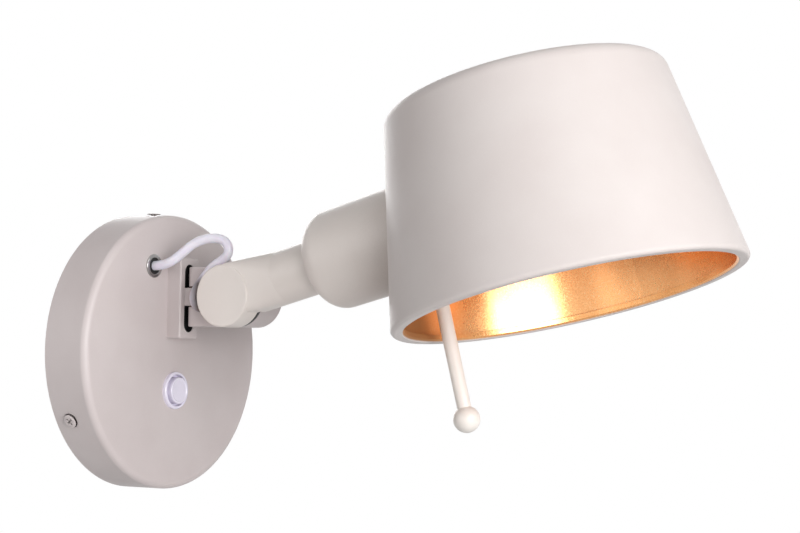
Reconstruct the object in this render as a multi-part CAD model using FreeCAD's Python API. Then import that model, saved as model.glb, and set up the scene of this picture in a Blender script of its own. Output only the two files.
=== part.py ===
import FreeCAD, Part
import math
import os

# Wall lamp: a round wall base with a push switch, a vertical hinge, a half-lap tilting knuckle,
# a short tubular arm and a conical shade that turns on the end of the arm.
# Millimetres. X points right, Y into the wall and Z up. The origin is the centre of the base's back.
# Lengths along the lamp are measured outwards from the wall, or along the arm from its tilt axis.

V = FreeCAD.Vector
RIGHT = V(1, 0, 0)
OUT = V(0, -1, 0)
UP = V(0, 0, 1)
ORIGIN = V(0, 0, 0)

# Shared clearances
overrun = 2.0
slip = 0.05
push_fit = 0.02
seat_gap = 0.1
side_gap = 0.3
same_point = 1e-6

# Base cover
base_radius = 60.0
base_depth = 22.0
base_wall = 2.5
base_edge = 3.0
base_inner_edge = 1.0
base_inside = base_depth - base_wall

# Side screws that hold the cover on the wall plate
side_screws = 3
side_screw_out = 8.3
side_screw_radius = 1.5
side_screw_length = 7.0
side_head_radius = 3.05
side_head_rise = 2.0
side_head_round = 0.7
side_recess_radius = 3.4
side_recess_depth = 1.0

# Wall plate
plate_thickness = 1.6
plate_margin = 3.5
tab_width = 12.0
tab_past_screw = 4.5
wall_screw_spacing = 60.0
slot_length = 9.0
slot_width = 4.6
cable_hole_radius = 10.0
cable_hole_down = 36.0

# Terminal block and earth screw on the plate
terminal_across = 25.0
terminal_screw_gap = 1.9
terminal_down = 14.0
terminal_high = 15.0
terminal_deep = 12.0
terminal_round = 1.0
poles = 3
pole_pitch = 8.2
sleeve_radius = 2.5
sleeve_bore = 1.7
sleeve_inset = 1.0
clamp_screw_radius = 1.3
clamp_screw_pitch = 8.0
clamp_screw_inset = 0.8
earth_across = 26.0
earth_down = 24.0
earth_radius = 2.0
earth_head_radius = 4.0
earth_head_rise = 2.6
earth_washer_radius = 4.8
earth_washer_thickness = 0.8
pan_round = 1.2

# Push switch
switch_drop = 17.0
bezel_radius = 8.2
bezel_rise = 1.8
bezel_round = 0.85
well_radius = 6.9
well_depth = 2.6
barrel_radius = 7.6
barrel_wall = 0.9
barrel_reach = 9.0
guide_length = 2.6
button_radius = 5.8
button_proud = 1.4
button_round = 0.9
button_wall = 1.2
skirt_radius = 6.4
skirt_height = 1.6
switch_nut_across = 18.0
switch_nut_thickness = 2.5
switch_body_width = 16.0
switch_body_height = 17.0
switch_body_clearance = 2.8
spring_radius = 4.2
spring_wall = 0.7

# Cord grommet, and the points of the cord's route as (across, out from the wall, up)
grommet_across = -16.2
grommet_up = 36.9
grommet_radius = 5.1
grommet_rise = 0.7
grommet_round = 0.35
grommet_bore = 3.6
grommet_barrel = 4.5
grommet_reach = 8.0
grommet_nut_across = 12.0
grommet_nut_thickness = 2.5
bush_recess = 0.3
bush_reach = 6.0
cord_diameter = 4.1
cord_fit = 0.05
loop_route = [
    (-16.2, 19.5, 36.9),
    (-16.2, 25.3, 36.9),
    (-15.6, 31.2, 38.6),
    (-14.0, 35.6, 42.4),
    (-12.1, 40.6, 46.9),
    (-9.9, 46.9, 49.1),
    (-7.8, 53.1, 48.5),
    (-7.1, 55.6, 44.95),
    (-6.9, 54.6, 40.9),
    (-6.9, 50.7, 39.03),
]
tail_route = [
    (-6.9, 50.7, 39.03),
    (-6.9, 47.25, 37.37),
    (-6.9, 43.05, 33.06),
    (-6.9, 39.72, 28.89),
    (-6.9, 36.75, 24.8),
    (-6.9, 37.7, 20.4),
    (-6.9, 41.45, 18.4),
    (-6.9, 48.2, 20.95),
]
longest_run_share = 0.45

# Hinge block on the base's face
hinge_up = 24.0
block_drop = 0.6
block_width = 12.6
block_depth = 7.2
block_height = 35.2
block_edge = 0.8
pocket_width = 6.8
pocket_height = 29.8
pocket_depth = 3.6
tongue_width = 6.8
tongue_height = 7.7
pin_ahead = 5.5
pin_radius = 2.0
pin_inset = 0.2
pip_radius = 1.5
pip_spacing = 24.0
block_screw_radius = 2.5
block_screw_reach = 7.0
block_head_radius = 4.6
block_head_rise = 3.0

# Swivel fork
fork_height = 26.0
lug_half_width = 4.5
lap_plane = -1.0
fork_half_width = 14.4
tilt_ahead = 21.5
disc_clearance = 0.7
tube_clearance = 1.2
washer_thickness = 0.6
washer_gap = 0.1
slot_past_pin = 4.4
washer_radius = 4.2
flare_start = 15.0
flare_end = 9.0
fork_edge = 0.6

# Tilt joint
disc_radius = 13.4
friction_thickness = 1.3
disc_edge = 0.9
disc_proud = 1.5
boss_radius = 5.5
groove_outer = 10.8
groove_floor = 2.0
tilt_bolt_radius = 2.5
tilt_head_radius = 4.4
tilt_head_rise = 2.8
tilt_socket_radius = 1.7
tilt_socket_depth = 1.8
tilt_recess_radius = 5.6
tilt_recess_depth = 4.6
tilt_bolt_reach = 6.5
insert_radius = 3.7
insert_length = 6.8
disc_spring_radius = 5.0
disc_spring_thickness = 0.9
cord_hole_angle = 186.0
cord_hole_radius = 2.6
cord_hole_across = -6.9
passage_radius = 2.9

# Arm
arm_elevation = 15.0
arm_rise = 1.8
arm_radius = 11.5
arm_wall = 1.5
arm_bore_start = 15.8
tube_lead = 2.0
tube_bite = 0.5
cheek_start = 4.0
cheek_end = 26.0
cheek_inset = 0.1
cup_start = 45.0
turn_washer_thickness = 0.8
plug_length = 9.0
nipple_radius = 5.0
nipple_bore = 3.4

# Lamp cup and lampholder
cup_radius = 21.0
cup_front_radius = 21.4
cup_corner = 9.5
cup_wall = 1.6
cup_length = 52.0
locknut_across = 15.0
locknut_thickness = 3.0
holder_start = 56.0
holder_length = 46.0
holder_radius = 13.8
holder_back = 3.0
holder_bore = 7.8
holder_bore_depth = 19.0
shell_wall = 0.3
shell_length = 15.0
contact_width = 4.0
contact_thickness = 0.6
contact_hole_radius = 0.6

# Shade
shade_start = 89.967
shade_below = 44.6
shade_above = 41.5
shade_bottom_radius = 71.7
shade_taper = 14.8
shade_wall = 1.4
shade_top_round = 6.0
shade_rim_round = 1.7
rim_width = 5.7
lip_thickness = 3.0
lip_round = 1.1
liner_gap = 0.2
liner_wall = 0.6
ring_radius = 21.5
ring_end = 104.0
ring_round = 1.5

# Handle under the shade
rod_along = 97.45
rod_radius = 2.9
rod_end_below = 79.1
rod_in_ring = 5.5
ball_radius = 5.5
rod_in_ball = 3.0

# Bulb
cap_radius = 7.0
cap_length = 17.0
cap_end_radius = 4.5
cap_end_length = 2.0
collar_radius = 9.0
collar_length = 12
globe_centre_ahead = 15.0
globe_radius = 22.5
globe_wall = 1.0

# Places that several pieces share
pin_out = base_depth + block_depth + pin_ahead
tilt_out = pin_out + tilt_ahead
disc_inner = lap_plane - friction_thickness
scoop_radius = disc_radius + disc_clearance
tube_start_radius = disc_radius + tube_clearance
tube_end = cup_start - turn_washer_thickness
holder_end = holder_start + holder_length
shade_height = shade_below + shade_above
shade_slope_share = shade_taper / shade_height
shade_along = shade_start + shade_bottom_radius - shade_slope_share * shade_below
opening_radius = shade_bottom_radius - rim_width
collar_end = holder_end + collar_length
globe_centre = collar_end + globe_centre_ahead
block_up = hinge_up - block_drop
switch_body_deep = base_depth - barrel_reach - plate_thickness - switch_body_clearance


def at(across, out, up):
    return V(across, -out, up)


def around(index, count):
    # Unit direction, across and up, of one of several places round a circle, the first at the top.
    angle = 2 * math.pi * index / count
    return math.sin(angle), math.cos(angle)


def rounded_face(corners, place):
    # Face inside corners given as (a, b) or (a, b, corner radius).
    count = len(corners)
    ends = []
    for i, corner in enumerate(corners):
        point = place(corner[0], corner[1])
        back = (place(*corners[i - 1][:2]) - point).normalize()
        ahead = (place(*corners[(i + 1) % count][:2]) - point).normalize()
        if len(corner) == 3 and corner[2] > 0:
            half = back.getAngle(ahead) / 2
            reach = corner[2] / math.tan(half)
            inwards = (back + ahead).normalize()
            crown = point + inwards * (corner[2] / math.sin(half) - corner[2])
            ends.append((point + back * reach, crown, point + ahead * reach))
        else:
            ends.append((point, None, point))
    edges = []
    for i, (first, crown, last) in enumerate(ends):
        if crown is not None:
            edges.append(Part.Arc(first, crown, last).toShape())
        following = ends[(i + 1) % count][0]
        if last.distanceToPoint(following) > same_point:
            edges.append(Part.LineSegment(last, following).toShape())
    return Part.Face(Part.Wire(edges))


def turned(corners, centre=ORIGIN, axis=OUT, side=UP):
    # Solid turned about an axis, from (radius, distance along the axis) corners.
    face = rounded_face(corners, lambda radius, along: centre + side * radius + axis * along)
    return face.revolve(centre, axis, 360)


def rod(radius, start, end):
    return Part.makeCylinder(radius, (end - start).Length, start, end - start)


def runs_along(edge, direction):
    # Whether a straight edge runs along a direction.
    return abs(edge.tangentAt(edge.FirstParameter).dot(direction)) > 1 - same_point


def box(low, high):
    # Box between two (across, out, up) corners.
    size = [abs(b - a) for a, b in zip(low, high)]
    return Part.makeBox(size[0], size[1], size[2],
                        V(min(low[0], high[0]), -max(low[1], high[1]), min(low[2], high[2])))


def hexagon(across_flats, centre, thickness, bore):
    radius = across_flats / math.sqrt(3)
    points = [centre + RIGHT * (radius * math.cos(math.radians(60 * i)))
              + UP * (radius * math.sin(math.radians(60 * i))) for i in range(6)]
    prism = Part.Face(Part.makePolygon(points + points[:1])).extrude(OUT * thickness)
    return prism.cut(rod(bore, centre - OUT * overrun, centre + OUT * (thickness + overrun)))


def pan_screw(head, outwards, head_radius, head_rise, shank_radius, shank_length, crown):
    # Screw with its head's seat at a point, the head outwards and the shank the other way.
    side = RIGHT if abs(outwards.dot(RIGHT)) < abs(outwards.dot(UP)) + abs(outwards.dot(OUT)) else UP
    side = side - outwards * side.dot(outwards)
    return turned([(0, -shank_length), (shank_radius, -shank_length), (shank_radius, 0),
                   (head_radius, 0), (head_radius, head_rise, crown), (0, head_rise)],
                  head, outwards, side.normalize())


def on_arm(shape):
    # Moves a piece drawn along a level arm, with the tilt axis at the origin, to its place.
    placed = shape.copy()
    placed.rotate(ORIGIN, RIGHT, -arm_elevation)
    placed.translate(at(0, tilt_out, hinge_up))
    return placed


def head_turned(corners):
    # Solid turned about the arm tube's axis, from (radius, distance along the arm) corners.
    return turned(corners, UP * arm_rise)


def base_cover():
    inner = base_radius - base_wall
    cover = turned([(0, base_depth), (base_radius, base_depth, base_edge), (base_radius, 0), (inner, 0),
                    (inner, base_inside, base_inner_edge), (0, base_inside)])
    cuts = [rod(barrel_radius + seat_gap, at(0, base_inside - overrun, -switch_drop),
                at(0, base_depth + overrun, -switch_drop)),
            rod(grommet_barrel + seat_gap, at(grommet_across, base_inside - overrun, grommet_up),
                at(grommet_across, base_depth + overrun, grommet_up)),
            rod(block_screw_radius + seat_gap, at(0, base_inside - overrun, hinge_up),
                at(0, base_depth + overrun, hinge_up))]
    for side in (-1, 1):
        pip = hinge_up + side * pip_spacing / 2
        cuts.append(rod(pip_radius + seat_gap, at(0, base_inside - overrun, pip),
                        at(0, base_depth + overrun, pip)))
    for i in range(side_screws):
        across, up = around(i, side_screws)
        cuts.append(rod(side_screw_radius + seat_gap,
                        at(across * (inner - overrun), side_screw_out, up * (inner - overrun)),
                        at(across * base_radius, side_screw_out, up * base_radius)))
        floor = base_radius - side_recess_depth
        cuts.append(rod(side_recess_radius, at(across * floor, side_screw_out, up * floor),
                        at(across * (base_radius + overrun), side_screw_out, up * (base_radius + overrun))))
    return cover.cut(cuts)


def side_screw_set():
    screws = []
    seat = base_radius - side_recess_depth
    for i in range(side_screws):
        across, up = around(i, side_screws)
        screws.append(pan_screw(at(across * seat, side_screw_out, up * seat), at(across, 0, up),
                                side_head_radius, side_head_rise, side_screw_radius, side_screw_length,
                                side_head_round))
    return Part.makeCompound(screws)


def slot(length, width, across, up, low, high):
    half = (length - width) / 2
    ends = [rod(width / 2, at(across + side * half, low, up), at(across + side * half, high, up))
            for side in (-1, 1)]
    return box((across - half, low, up - width / 2), (across + half, high, up + width / 2)).fuse(ends)


def wall_plate():
    tab_outer = base_radius - base_wall - side_gap
    tab_end = side_screw_out + tab_past_screw
    plate = rod(base_radius - base_wall - plate_margin, ORIGIN, at(0, plate_thickness, 0))
    ring = rod(tab_outer, ORIGIN, at(0, tab_end, 0))
    inside = rod(tab_outer - plate_thickness, at(0, plate_thickness, 0), at(0, tab_end + overrun, 0))
    tabs = []
    for i in range(side_screws):
        angle = 360.0 * i / side_screws
        tab = box((-tab_width / 2, 0, 0), (tab_width / 2, tab_end, tab_outer + overrun))
        tab = tab.common(ring).cut(inside)
        tab.rotate(ORIGIN, OUT, -angle)
        tabs.append(tab)
    plate = plate.fuse(tabs)
    cuts = [rod(cable_hole_radius, at(0, -overrun, -cable_hole_down),
                at(0, plate_thickness + overrun, -cable_hole_down))]
    for side in (-1, 1):
        cuts.append(slot(slot_length, slot_width, side * wall_screw_spacing / 2, 0,
                         -overrun, plate_thickness + overrun))
    cuts.append(rod(earth_radius + seat_gap, at(-earth_across, -overrun, -earth_down),
                    at(-earth_across, plate_thickness + overrun, -earth_down)))
    for i in range(side_screws):
        across, up = around(i, side_screws)
        near = tab_outer - plate_thickness - overrun
        far = tab_outer + overrun
        cuts.append(rod(side_screw_radius + push_fit, at(across * near, side_screw_out, up * near),
                        at(across * far, side_screw_out, up * far)))
    return plate.cut(cuts).removeSplitter()


def terminal_along():
    # The block's outer lower corner stays clear of the ends of the side screws.
    corner = base_radius - side_recess_depth - side_screw_length - terminal_screw_gap
    return math.sqrt(corner ** 2 - (terminal_down + terminal_high / 2) ** 2) - terminal_across / 2


def pole_places():
    return [terminal_along() + (i - (poles - 1) / 2) * pole_pitch for i in range(poles)]


def sleeve_out():
    return plate_thickness + terminal_deep / 2


def terminal_block():
    along, half = terminal_along(), terminal_across / 2
    low = (along - half, plate_thickness, -terminal_down - terminal_high / 2)
    high = (along + half, plate_thickness + terminal_deep, -terminal_down + terminal_high / 2)
    block = box(low, high)
    block = block.makeFillet(terminal_round, [e for e in block.Edges if runs_along(e, OUT)])
    cuts = []
    for across in pole_places():
        cuts.append(rod(sleeve_radius + push_fit, at(across, sleeve_out(), low[2] - overrun),
                        at(across, sleeve_out(), high[2] + overrun)))
        for side in (-1, 1):
            up = -terminal_down + side * clamp_screw_pitch / 2
            cuts.append(rod(clamp_screw_radius + seat_gap, at(across, sleeve_out(), up),
                            at(across, high[1] + overrun, up)))
    return block.cut(cuts)


def terminal_sleeves():
    half = terminal_high / 2 - sleeve_inset
    sleeves = []
    for across in pole_places():
        low = at(across, sleeve_out(), -terminal_down - half)
        high = at(across, sleeve_out(), -terminal_down + half)
        sleeve = rod(sleeve_radius, low, high).cut(rod(sleeve_bore, low - UP * overrun, high + UP * overrun))
        for side in (-1, 1):
            up = -terminal_down + side * clamp_screw_pitch / 2
            sleeve = sleeve.cut(rod(clamp_screw_radius + push_fit, at(across, sleeve_out(), up),
                                    at(across, sleeve_out() + sleeve_radius + overrun, up)))
        sleeves.append(sleeve)
    return Part.makeCompound(sleeves)


def terminal_screws():
    screws = []
    top = plate_thickness + terminal_deep - clamp_screw_inset
    for across in pole_places():
        for side in (-1, 1):
            up = -terminal_down + side * clamp_screw_pitch / 2
            screws.append(rod(clamp_screw_radius, at(across, sleeve_out() + sleeve_bore / 2, up),
                              at(across, top, up)))
    return Part.makeCompound(screws)


def earth_screw():
    seat = plate_thickness + earth_washer_thickness
    return pan_screw(at(-earth_across, seat, -earth_down), OUT, earth_head_radius, earth_head_rise,
                     earth_radius, seat, pan_round)


def earth_washer():
    return turned([(earth_radius + seat_gap, plate_thickness),
                   (earth_washer_radius, plate_thickness),
                   (earth_washer_radius, plate_thickness + earth_washer_thickness),
                   (earth_radius + seat_gap, plate_thickness + earth_washer_thickness)],
                  at(-earth_across, 0, -earth_down))


def switch_levels():
    # Outward places of the bezel's top, the well's floor, the guide's inner end and the barrel's end.
    top = base_depth + bezel_rise
    well = top - well_depth
    return top, well, well - guide_length, base_depth - barrel_reach


def switch_bezel():
    top, well, guide_end, barrel_end = switch_levels()
    bore = button_radius + seat_gap
    return turned([(bore, well), (well_radius, well), (well_radius, top, bezel_round / 2),
                   (bezel_radius, top, bezel_round), (bezel_radius, base_depth), (barrel_radius, base_depth),
                   (barrel_radius, barrel_end), (barrel_radius - barrel_wall, barrel_end),
                   (barrel_radius - barrel_wall, guide_end), (bore, guide_end)], at(0, 0, -switch_drop))


def switch_button():
    top, well, guide_end, barrel_end = switch_levels()
    crown = top + button_proud
    skirt_top = guide_end - seat_gap
    inner = button_radius - button_wall
    return turned([(0, crown), (button_radius, crown, button_round), (button_radius, skirt_top),
                   (skirt_radius, skirt_top), (skirt_radius, skirt_top - skirt_height),
                   (inner, skirt_top - skirt_height), (inner, crown - button_wall - button_round),
                   (0, crown - button_wall - button_round)], at(0, 0, -switch_drop))


def switch_spring():
    top, well, guide_end, barrel_end = switch_levels()
    end = top + button_proud - button_wall - button_round
    return turned([(spring_radius, barrel_end), (spring_radius, end), (spring_radius - spring_wall, end),
                   (spring_radius - spring_wall, barrel_end)], at(0, 0, -switch_drop))


def switch_nut():
    return hexagon(switch_nut_across, at(0, base_inside - switch_nut_thickness, -switch_drop),
                   switch_nut_thickness, barrel_radius + push_fit)


def switch_body():
    barrel_end = switch_levels()[3]
    low = (-switch_body_width / 2, barrel_end - switch_body_deep, -switch_drop - switch_body_height / 2)
    high = (switch_body_width / 2, barrel_end, -switch_drop + switch_body_height / 2)
    return box(low, high)


def cord_grommet():
    top = base_depth + grommet_rise
    return turned([(grommet_bore, top, grommet_round / 2), (grommet_radius, top, grommet_round),
                   (grommet_radius, base_depth), (grommet_barrel, base_depth),
                   (grommet_barrel, base_depth - grommet_reach), (grommet_bore, base_depth - grommet_reach)],
                  at(grommet_across, 0, grommet_up))


def cord_bush():
    end = base_depth + grommet_rise - bush_recess
    outer = grommet_bore - push_fit
    inner = cord_diameter / 2 + cord_fit
    return turned([(inner, end - bush_reach), (outer, end - bush_reach), (outer, end), (inner, end)],
                  at(grommet_across, 0, grommet_up))


def grommet_nut():
    return hexagon(grommet_nut_across, at(grommet_across, base_inside - grommet_nut_thickness, grommet_up),
                   grommet_nut_thickness, grommet_barrel + push_fit)


def hinge_block():
    half = block_width / 2
    front = base_depth + block_depth
    block = box((-half, base_depth, block_up - block_height / 2), (half, front, block_up + block_height / 2))
    block = block.makeFillet(block_edge, [e for e in block.Edges if runs_along(e, OUT)
                                          or e.BoundBox.YMax < same_point - front])
    floor = front - pocket_depth
    straight = (pocket_height - pocket_width) / 2
    pocket = box((-pocket_width / 2, floor, block_up - straight),
                 (pocket_width / 2, front + overrun, block_up + straight))
    pocket = pocket.fuse([rod(pocket_width / 2, at(0, floor, block_up + side * straight),
                              at(0, front + overrun, block_up + side * straight)) for side in (-1, 1)])
    low = hinge_up - tongue_height / 2
    high = hinge_up + tongue_height / 2
    tongue = box((-tongue_width / 2, floor, low), (tongue_width / 2, pin_out, high))
    tongue = tongue.fuse(rod(tongue_width / 2, at(0, pin_out, low), at(0, pin_out, high)))
    pips = [rod(pip_radius, at(0, base_inside, hinge_up + side * pip_spacing / 2),
                at(0, base_depth, hinge_up + side * pip_spacing / 2)) for side in (-1, 1)]
    block = block.cut(pocket).fuse([tongue] + pips).removeSplitter()
    return block.cut([rod(pin_radius + slip, at(0, pin_out, low - overrun), at(0, pin_out, high + overrun)),
                      rod(block_screw_radius + push_fit, at(0, base_depth - overrun, hinge_up),
                          at(0, base_depth + block_screw_reach + seat_gap, hinge_up))])


def hinge_block_screw():
    return pan_screw(at(0, base_inside, hinge_up), at(0, -1, 0), block_head_radius, block_head_rise,
                     block_screw_radius, base_wall + block_screw_reach, pan_round)


def hinge_pin():
    half = fork_height / 2 - pin_inset
    return rod(pin_radius, at(0, pin_out, hinge_up - half), at(0, pin_out, hinge_up + half))


def swing_washers():
    washers = []
    for side in (-1, 1):
        start = hinge_up + side * (tongue_height / 2 + washer_gap / 2)
        end = start + side * washer_thickness
        ring = rod(washer_radius, at(0, pin_out, start), at(0, pin_out, end))
        washers.append(ring.cut(rod(pin_radius + slip, at(0, pin_out, start - side * overrun),
                                    at(0, pin_out, end + side * overrun))))
    return Part.makeCompound(washers)


def swivel_fork():
    half = fork_height / 2
    low, high = hinge_up - half, hinge_up + half
    plan = rounded_face([(-lug_half_width, pin_out - lug_half_width, lug_half_width - seat_gap),
                         (lug_half_width, pin_out - lug_half_width, lug_half_width - seat_gap),
                         (lug_half_width, tilt_out - flare_start, block_edge),
                         (fork_half_width, tilt_out - flare_end, disc_edge),
                         (fork_half_width, tilt_out + half + overrun),
                         (-lug_half_width, tilt_out + half + overrun)],
                        lambda across, out: at(across, out, low))
    body = plan.extrude(UP * fork_height)
    nose = box((-fork_half_width - overrun, 0, low - overrun),
               (fork_half_width + overrun, tilt_out, high + overrun))
    nose = nose.fuse(rod(half, at(-fork_half_width - overrun, tilt_out, hinge_up),
                         at(fork_half_width + overrun, tilt_out, hinge_up)))
    body = body.common(nose)
    far_left = -fork_half_width - overrun
    scoop = rod(scoop_radius, at(lap_plane, tilt_out, hinge_up), at(far_left, tilt_out, hinge_up))
    front = box((far_left, tilt_out, low - overrun), (lap_plane, tilt_out + half + overrun, high + overrun))
    gap = tongue_height / 2 + washer_thickness + washer_gap
    mouth = box((far_left, 0, hinge_up - gap), (fork_half_width, pin_out + slot_past_pin, hinge_up + gap))
    pin = rod(pin_radius + push_fit, at(0, pin_out, low - overrun), at(0, pin_out, high + overrun))
    bolt = rod(tilt_bolt_radius + slip, at(lap_plane - overrun, tilt_out, hinge_up),
               at(fork_half_width, tilt_out, hinge_up))
    recess = rod(tilt_recess_radius, at(fork_half_width - tilt_recess_depth, tilt_out, hinge_up),
                 at(fork_half_width + overrun, tilt_out, hinge_up))
    body = body.cut([scoop, front, mouth, pin, bolt, recess]).removeSplitter()
    # The outline of the right face is rounded, and the recess in it stays sharp.
    rim = [e for e in body.Edges if e.BoundBox.XMin > fork_half_width - same_point
           and max(e.BoundBox.ZLength, e.BoundBox.YLength) > 2 * tilt_recess_radius + overrun]
    return body.makeFillet(fork_edge, rim)


def friction_washer():
    ring = rod(disc_radius - 2 * disc_edge, V(disc_inner, 0, 0), V(lap_plane, 0, 0))
    return on_arm(ring.cut(rod(tilt_bolt_radius + seat_gap, V(disc_inner - overrun, 0, 0),
                               V(lap_plane + overrun, 0, 0))))


def tilt_floor():
    return fork_half_width - tilt_recess_depth


def disc_spring():
    start = tilt_floor()
    inner = tilt_bolt_radius + seat_gap
    ring = turned([(inner, start + disc_spring_thickness / 2), (disc_spring_radius, start),
                   (disc_spring_radius, start + disc_spring_thickness / 2),
                   (inner, start + disc_spring_thickness)], ORIGIN, RIGHT, UP)
    return on_arm(ring)


def tilt_bolt():
    seat = tilt_floor() + disc_spring_thickness
    length = seat - disc_inner + tilt_bolt_reach
    bolt = pan_screw(V(seat, 0, 0), RIGHT, tilt_head_radius, tilt_head_rise, tilt_bolt_radius, length,
                     pan_round)
    socket = rod(tilt_socket_radius, V(seat + tilt_head_rise - tilt_socket_depth, 0, 0),
                 V(seat + tilt_head_rise + overrun, 0, 0))
    return on_arm(bolt.cut(socket))


def tilt_insert():
    sleeve = rod(insert_radius, V(disc_inner, 0, 0), V(disc_inner - insert_length, 0, 0))
    bore = rod(tilt_bolt_radius + push_fit, V(disc_inner + overrun, 0, 0),
               V(disc_inner - insert_length - overrun, 0, 0))
    return on_arm(sleeve.cut(bore))


def cheek():
    # Cast web that carries the disc's flat outer face over into the round tube.
    half = arm_radius - cheek_inset
    sections = []
    for along, outer, corner in ((cheek_start, arm_radius + disc_proud - seat_gap / 2, disc_edge),
                                 (cheek_end, half, half - cheek_inset)):
        outline = rounded_face([(0, half), (-outer, half, corner), (-outer, -half, corner), (0, -half)],
                               lambda across, up: at(across, along, arm_rise + up))
        sections.append(outline.OuterWire)
    return Part.makeLoft(sections, True, True)


def arm_tube():
    outer_face = -arm_radius - disc_proud
    disc = turned([(0, outer_face), (disc_radius, outer_face, disc_edge), (disc_radius, disc_inner),
                   (0, disc_inner)], ORIGIN, RIGHT, UP)
    angle = math.radians(cord_hole_angle)
    ahead = at(0, math.cos(angle), math.sin(angle))
    hole = V(cord_hole_across, 0, 0)
    disc = disc.cut(rod(cord_hole_radius, hole + ahead * boss_radius, hole + ahead * (disc_radius + overrun)))
    tube = rod(arm_radius, at(0, tube_lead, arm_rise), at(0, tube_end, arm_rise)).fuse(cheek())
    tube = tube.cut(rod(arm_radius - arm_wall, at(0, arm_bore_start, arm_rise),
                        at(0, tube_end + overrun, arm_rise)))
    tube = tube.cut(rod(tube_start_radius, V(disc_inner, 0, 0), V(arm_radius + overrun, 0, 0)))
    tube = tube.cut(rod(disc_radius - tube_bite, V(outer_face - overrun, 0, 0), V(disc_inner, 0, 0)))
    groove_end = outer_face + groove_floor
    groove = rod(groove_outer, V(groove_end, 0, 0), V(disc_inner + overrun, 0, 0))
    groove = groove.cut(rod(boss_radius, V(groove_end - overrun, 0, 0), V(disc_inner + 2 * overrun, 0, 0)))
    insert = rod(insert_radius + push_fit, V(disc_inner + overrun, 0, 0),
                 V(disc_inner - insert_length - seat_gap, 0, 0))
    body = disc.cut(groove).cut(insert).fuse(tube)
    passage = rod(passage_radius, at(cord_hole_across, groove_outer - overrun, 0),
                  at(cord_hole_across, arm_bore_start + overrun, 0))
    return on_arm(body.cut(passage))


def arm_plug():
    outer = arm_radius - arm_wall - push_fit
    inner = nipple_radius + push_fit
    return on_arm(head_turned([(inner, tube_end - plug_length), (outer, tube_end - plug_length),
                               (outer, tube_end), (inner, tube_end)]))


def turn_washer():
    inner = nipple_radius + slip
    outer = arm_radius - seat_gap
    return on_arm(head_turned([(inner, tube_end), (outer, tube_end), (outer, cup_start), (inner, cup_start)]))


def nipple():
    start = tube_end - plug_length
    end = holder_start + holder_back
    return on_arm(head_turned([(nipple_bore, start), (nipple_radius, start), (nipple_radius, end),
                               (nipple_bore, end)]))


def shade_radius(inset, height):
    # Radius of the cone inside the shade's outer face, at a height from the arm tube's axis.
    return shade_bottom_radius - shade_slope_share * (height + shade_below) - inset


def shade_cone(inset, low, high):
    return Part.makeCone(shade_radius(inset, low), shade_radius(inset, high), high - low,
                         at(0, shade_along, arm_rise + low), UP)


def lamp_cup():
    hole = nipple_radius + slip
    end = cup_start + cup_length
    cup = head_turned([(hole, cup_start), (cup_radius, cup_start, cup_corner), (cup_front_radius, end),
                       (cup_front_radius - cup_wall, end),
                       (cup_radius - cup_wall, cup_start + cup_wall, cup_corner - cup_wall),
                       (hole, cup_start + cup_wall)])
    return on_arm(cup.cut(shade_cone(-seat_gap, -shade_below, shade_above)))


def cup_locknut():
    centre = at(0, cup_start + cup_wall, arm_rise)
    return on_arm(hexagon(locknut_across, centre, locknut_thickness, nipple_radius + push_fit))


def lampholder():
    back = holder_start + holder_back
    bore_start = holder_end - holder_bore_depth
    seat = nipple_radius + push_fit
    return on_arm(head_turned([(seat, holder_start), (holder_radius, holder_start, pan_round),
                               (holder_radius, holder_end), (holder_bore, holder_end),
                               (holder_bore, bore_start), (nipple_bore, bore_start), (nipple_bore, back),
                               (seat, back)]))


def contact_shell():
    outer = holder_bore - push_fit
    start = holder_end - overrun - shell_length
    return on_arm(head_turned([(outer, start), (outer, start + shell_length),
                               (outer - shell_wall, start + shell_length), (outer - shell_wall, start)]))


def centre_contact():
    start = holder_end - holder_bore_depth
    half = contact_width / 2
    leaf = box((-half, start, arm_rise - half), (half, start + contact_thickness, arm_rise + half))
    return on_arm(leaf.cut(rod(contact_hole_radius, at(0, start - overrun, arm_rise),
                               at(0, start + overrun, arm_rise))))


def shade_ring():
    inner = holder_radius + push_fit
    start = cup_start + cup_length / 2
    ring = head_turned([(inner, start), (ring_radius, start), (ring_radius, ring_end, ring_round),
                        (inner, ring_end)])
    inset = shade_wall + liner_gap + liner_wall + seat_gap
    ring = ring.common(shade_cone(inset, -shade_below, shade_above))
    hole = rod(rod_radius + push_fit, at(0, rod_along, arm_rise - ring_radius - overrun),
               at(0, rod_along, arm_rise - ring_radius + rod_in_ring))
    return on_arm(ring.cut(hole))


def side_hole():
    return head_turned([(0, cup_start), (holder_radius + side_gap, cup_start),
                        (holder_radius + side_gap, ring_end), (0, ring_end)])


def shade_profile(inset, low, high, top_round):
    # Half section of that cone, as (radius, height) corners.
    return [(0, low), (shade_radius(inset, low), low), (shade_radius(inset, high), high, top_round),
            (0, high)]


def shade_turned(corners):
    return turned(corners, at(0, shade_along, arm_rise), UP, RIGHT)


def shade_shell():
    outer = shade_profile(0, -shade_below, shade_above, shade_top_round)
    outer[1] = (outer[1][0], outer[1][1], shade_rim_round)
    shell = shade_turned(outer)
    lip_top = lip_thickness - shade_below
    hollow = shade_turned(shade_profile(shade_wall, lip_top, shade_above - shade_wall,
                                        shade_top_round - shade_wall))
    below = -shade_below - overrun
    mouth = shade_turned([(0, below), (opening_radius + lip_round, below),
                          (opening_radius + lip_round, -shade_below),
                          (opening_radius, -shade_below + lip_round),
                          (opening_radius, lip_top + overrun), (0, lip_top + overrun)])
    return on_arm(shell.cut([hollow, mouth, side_hole()]))


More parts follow.
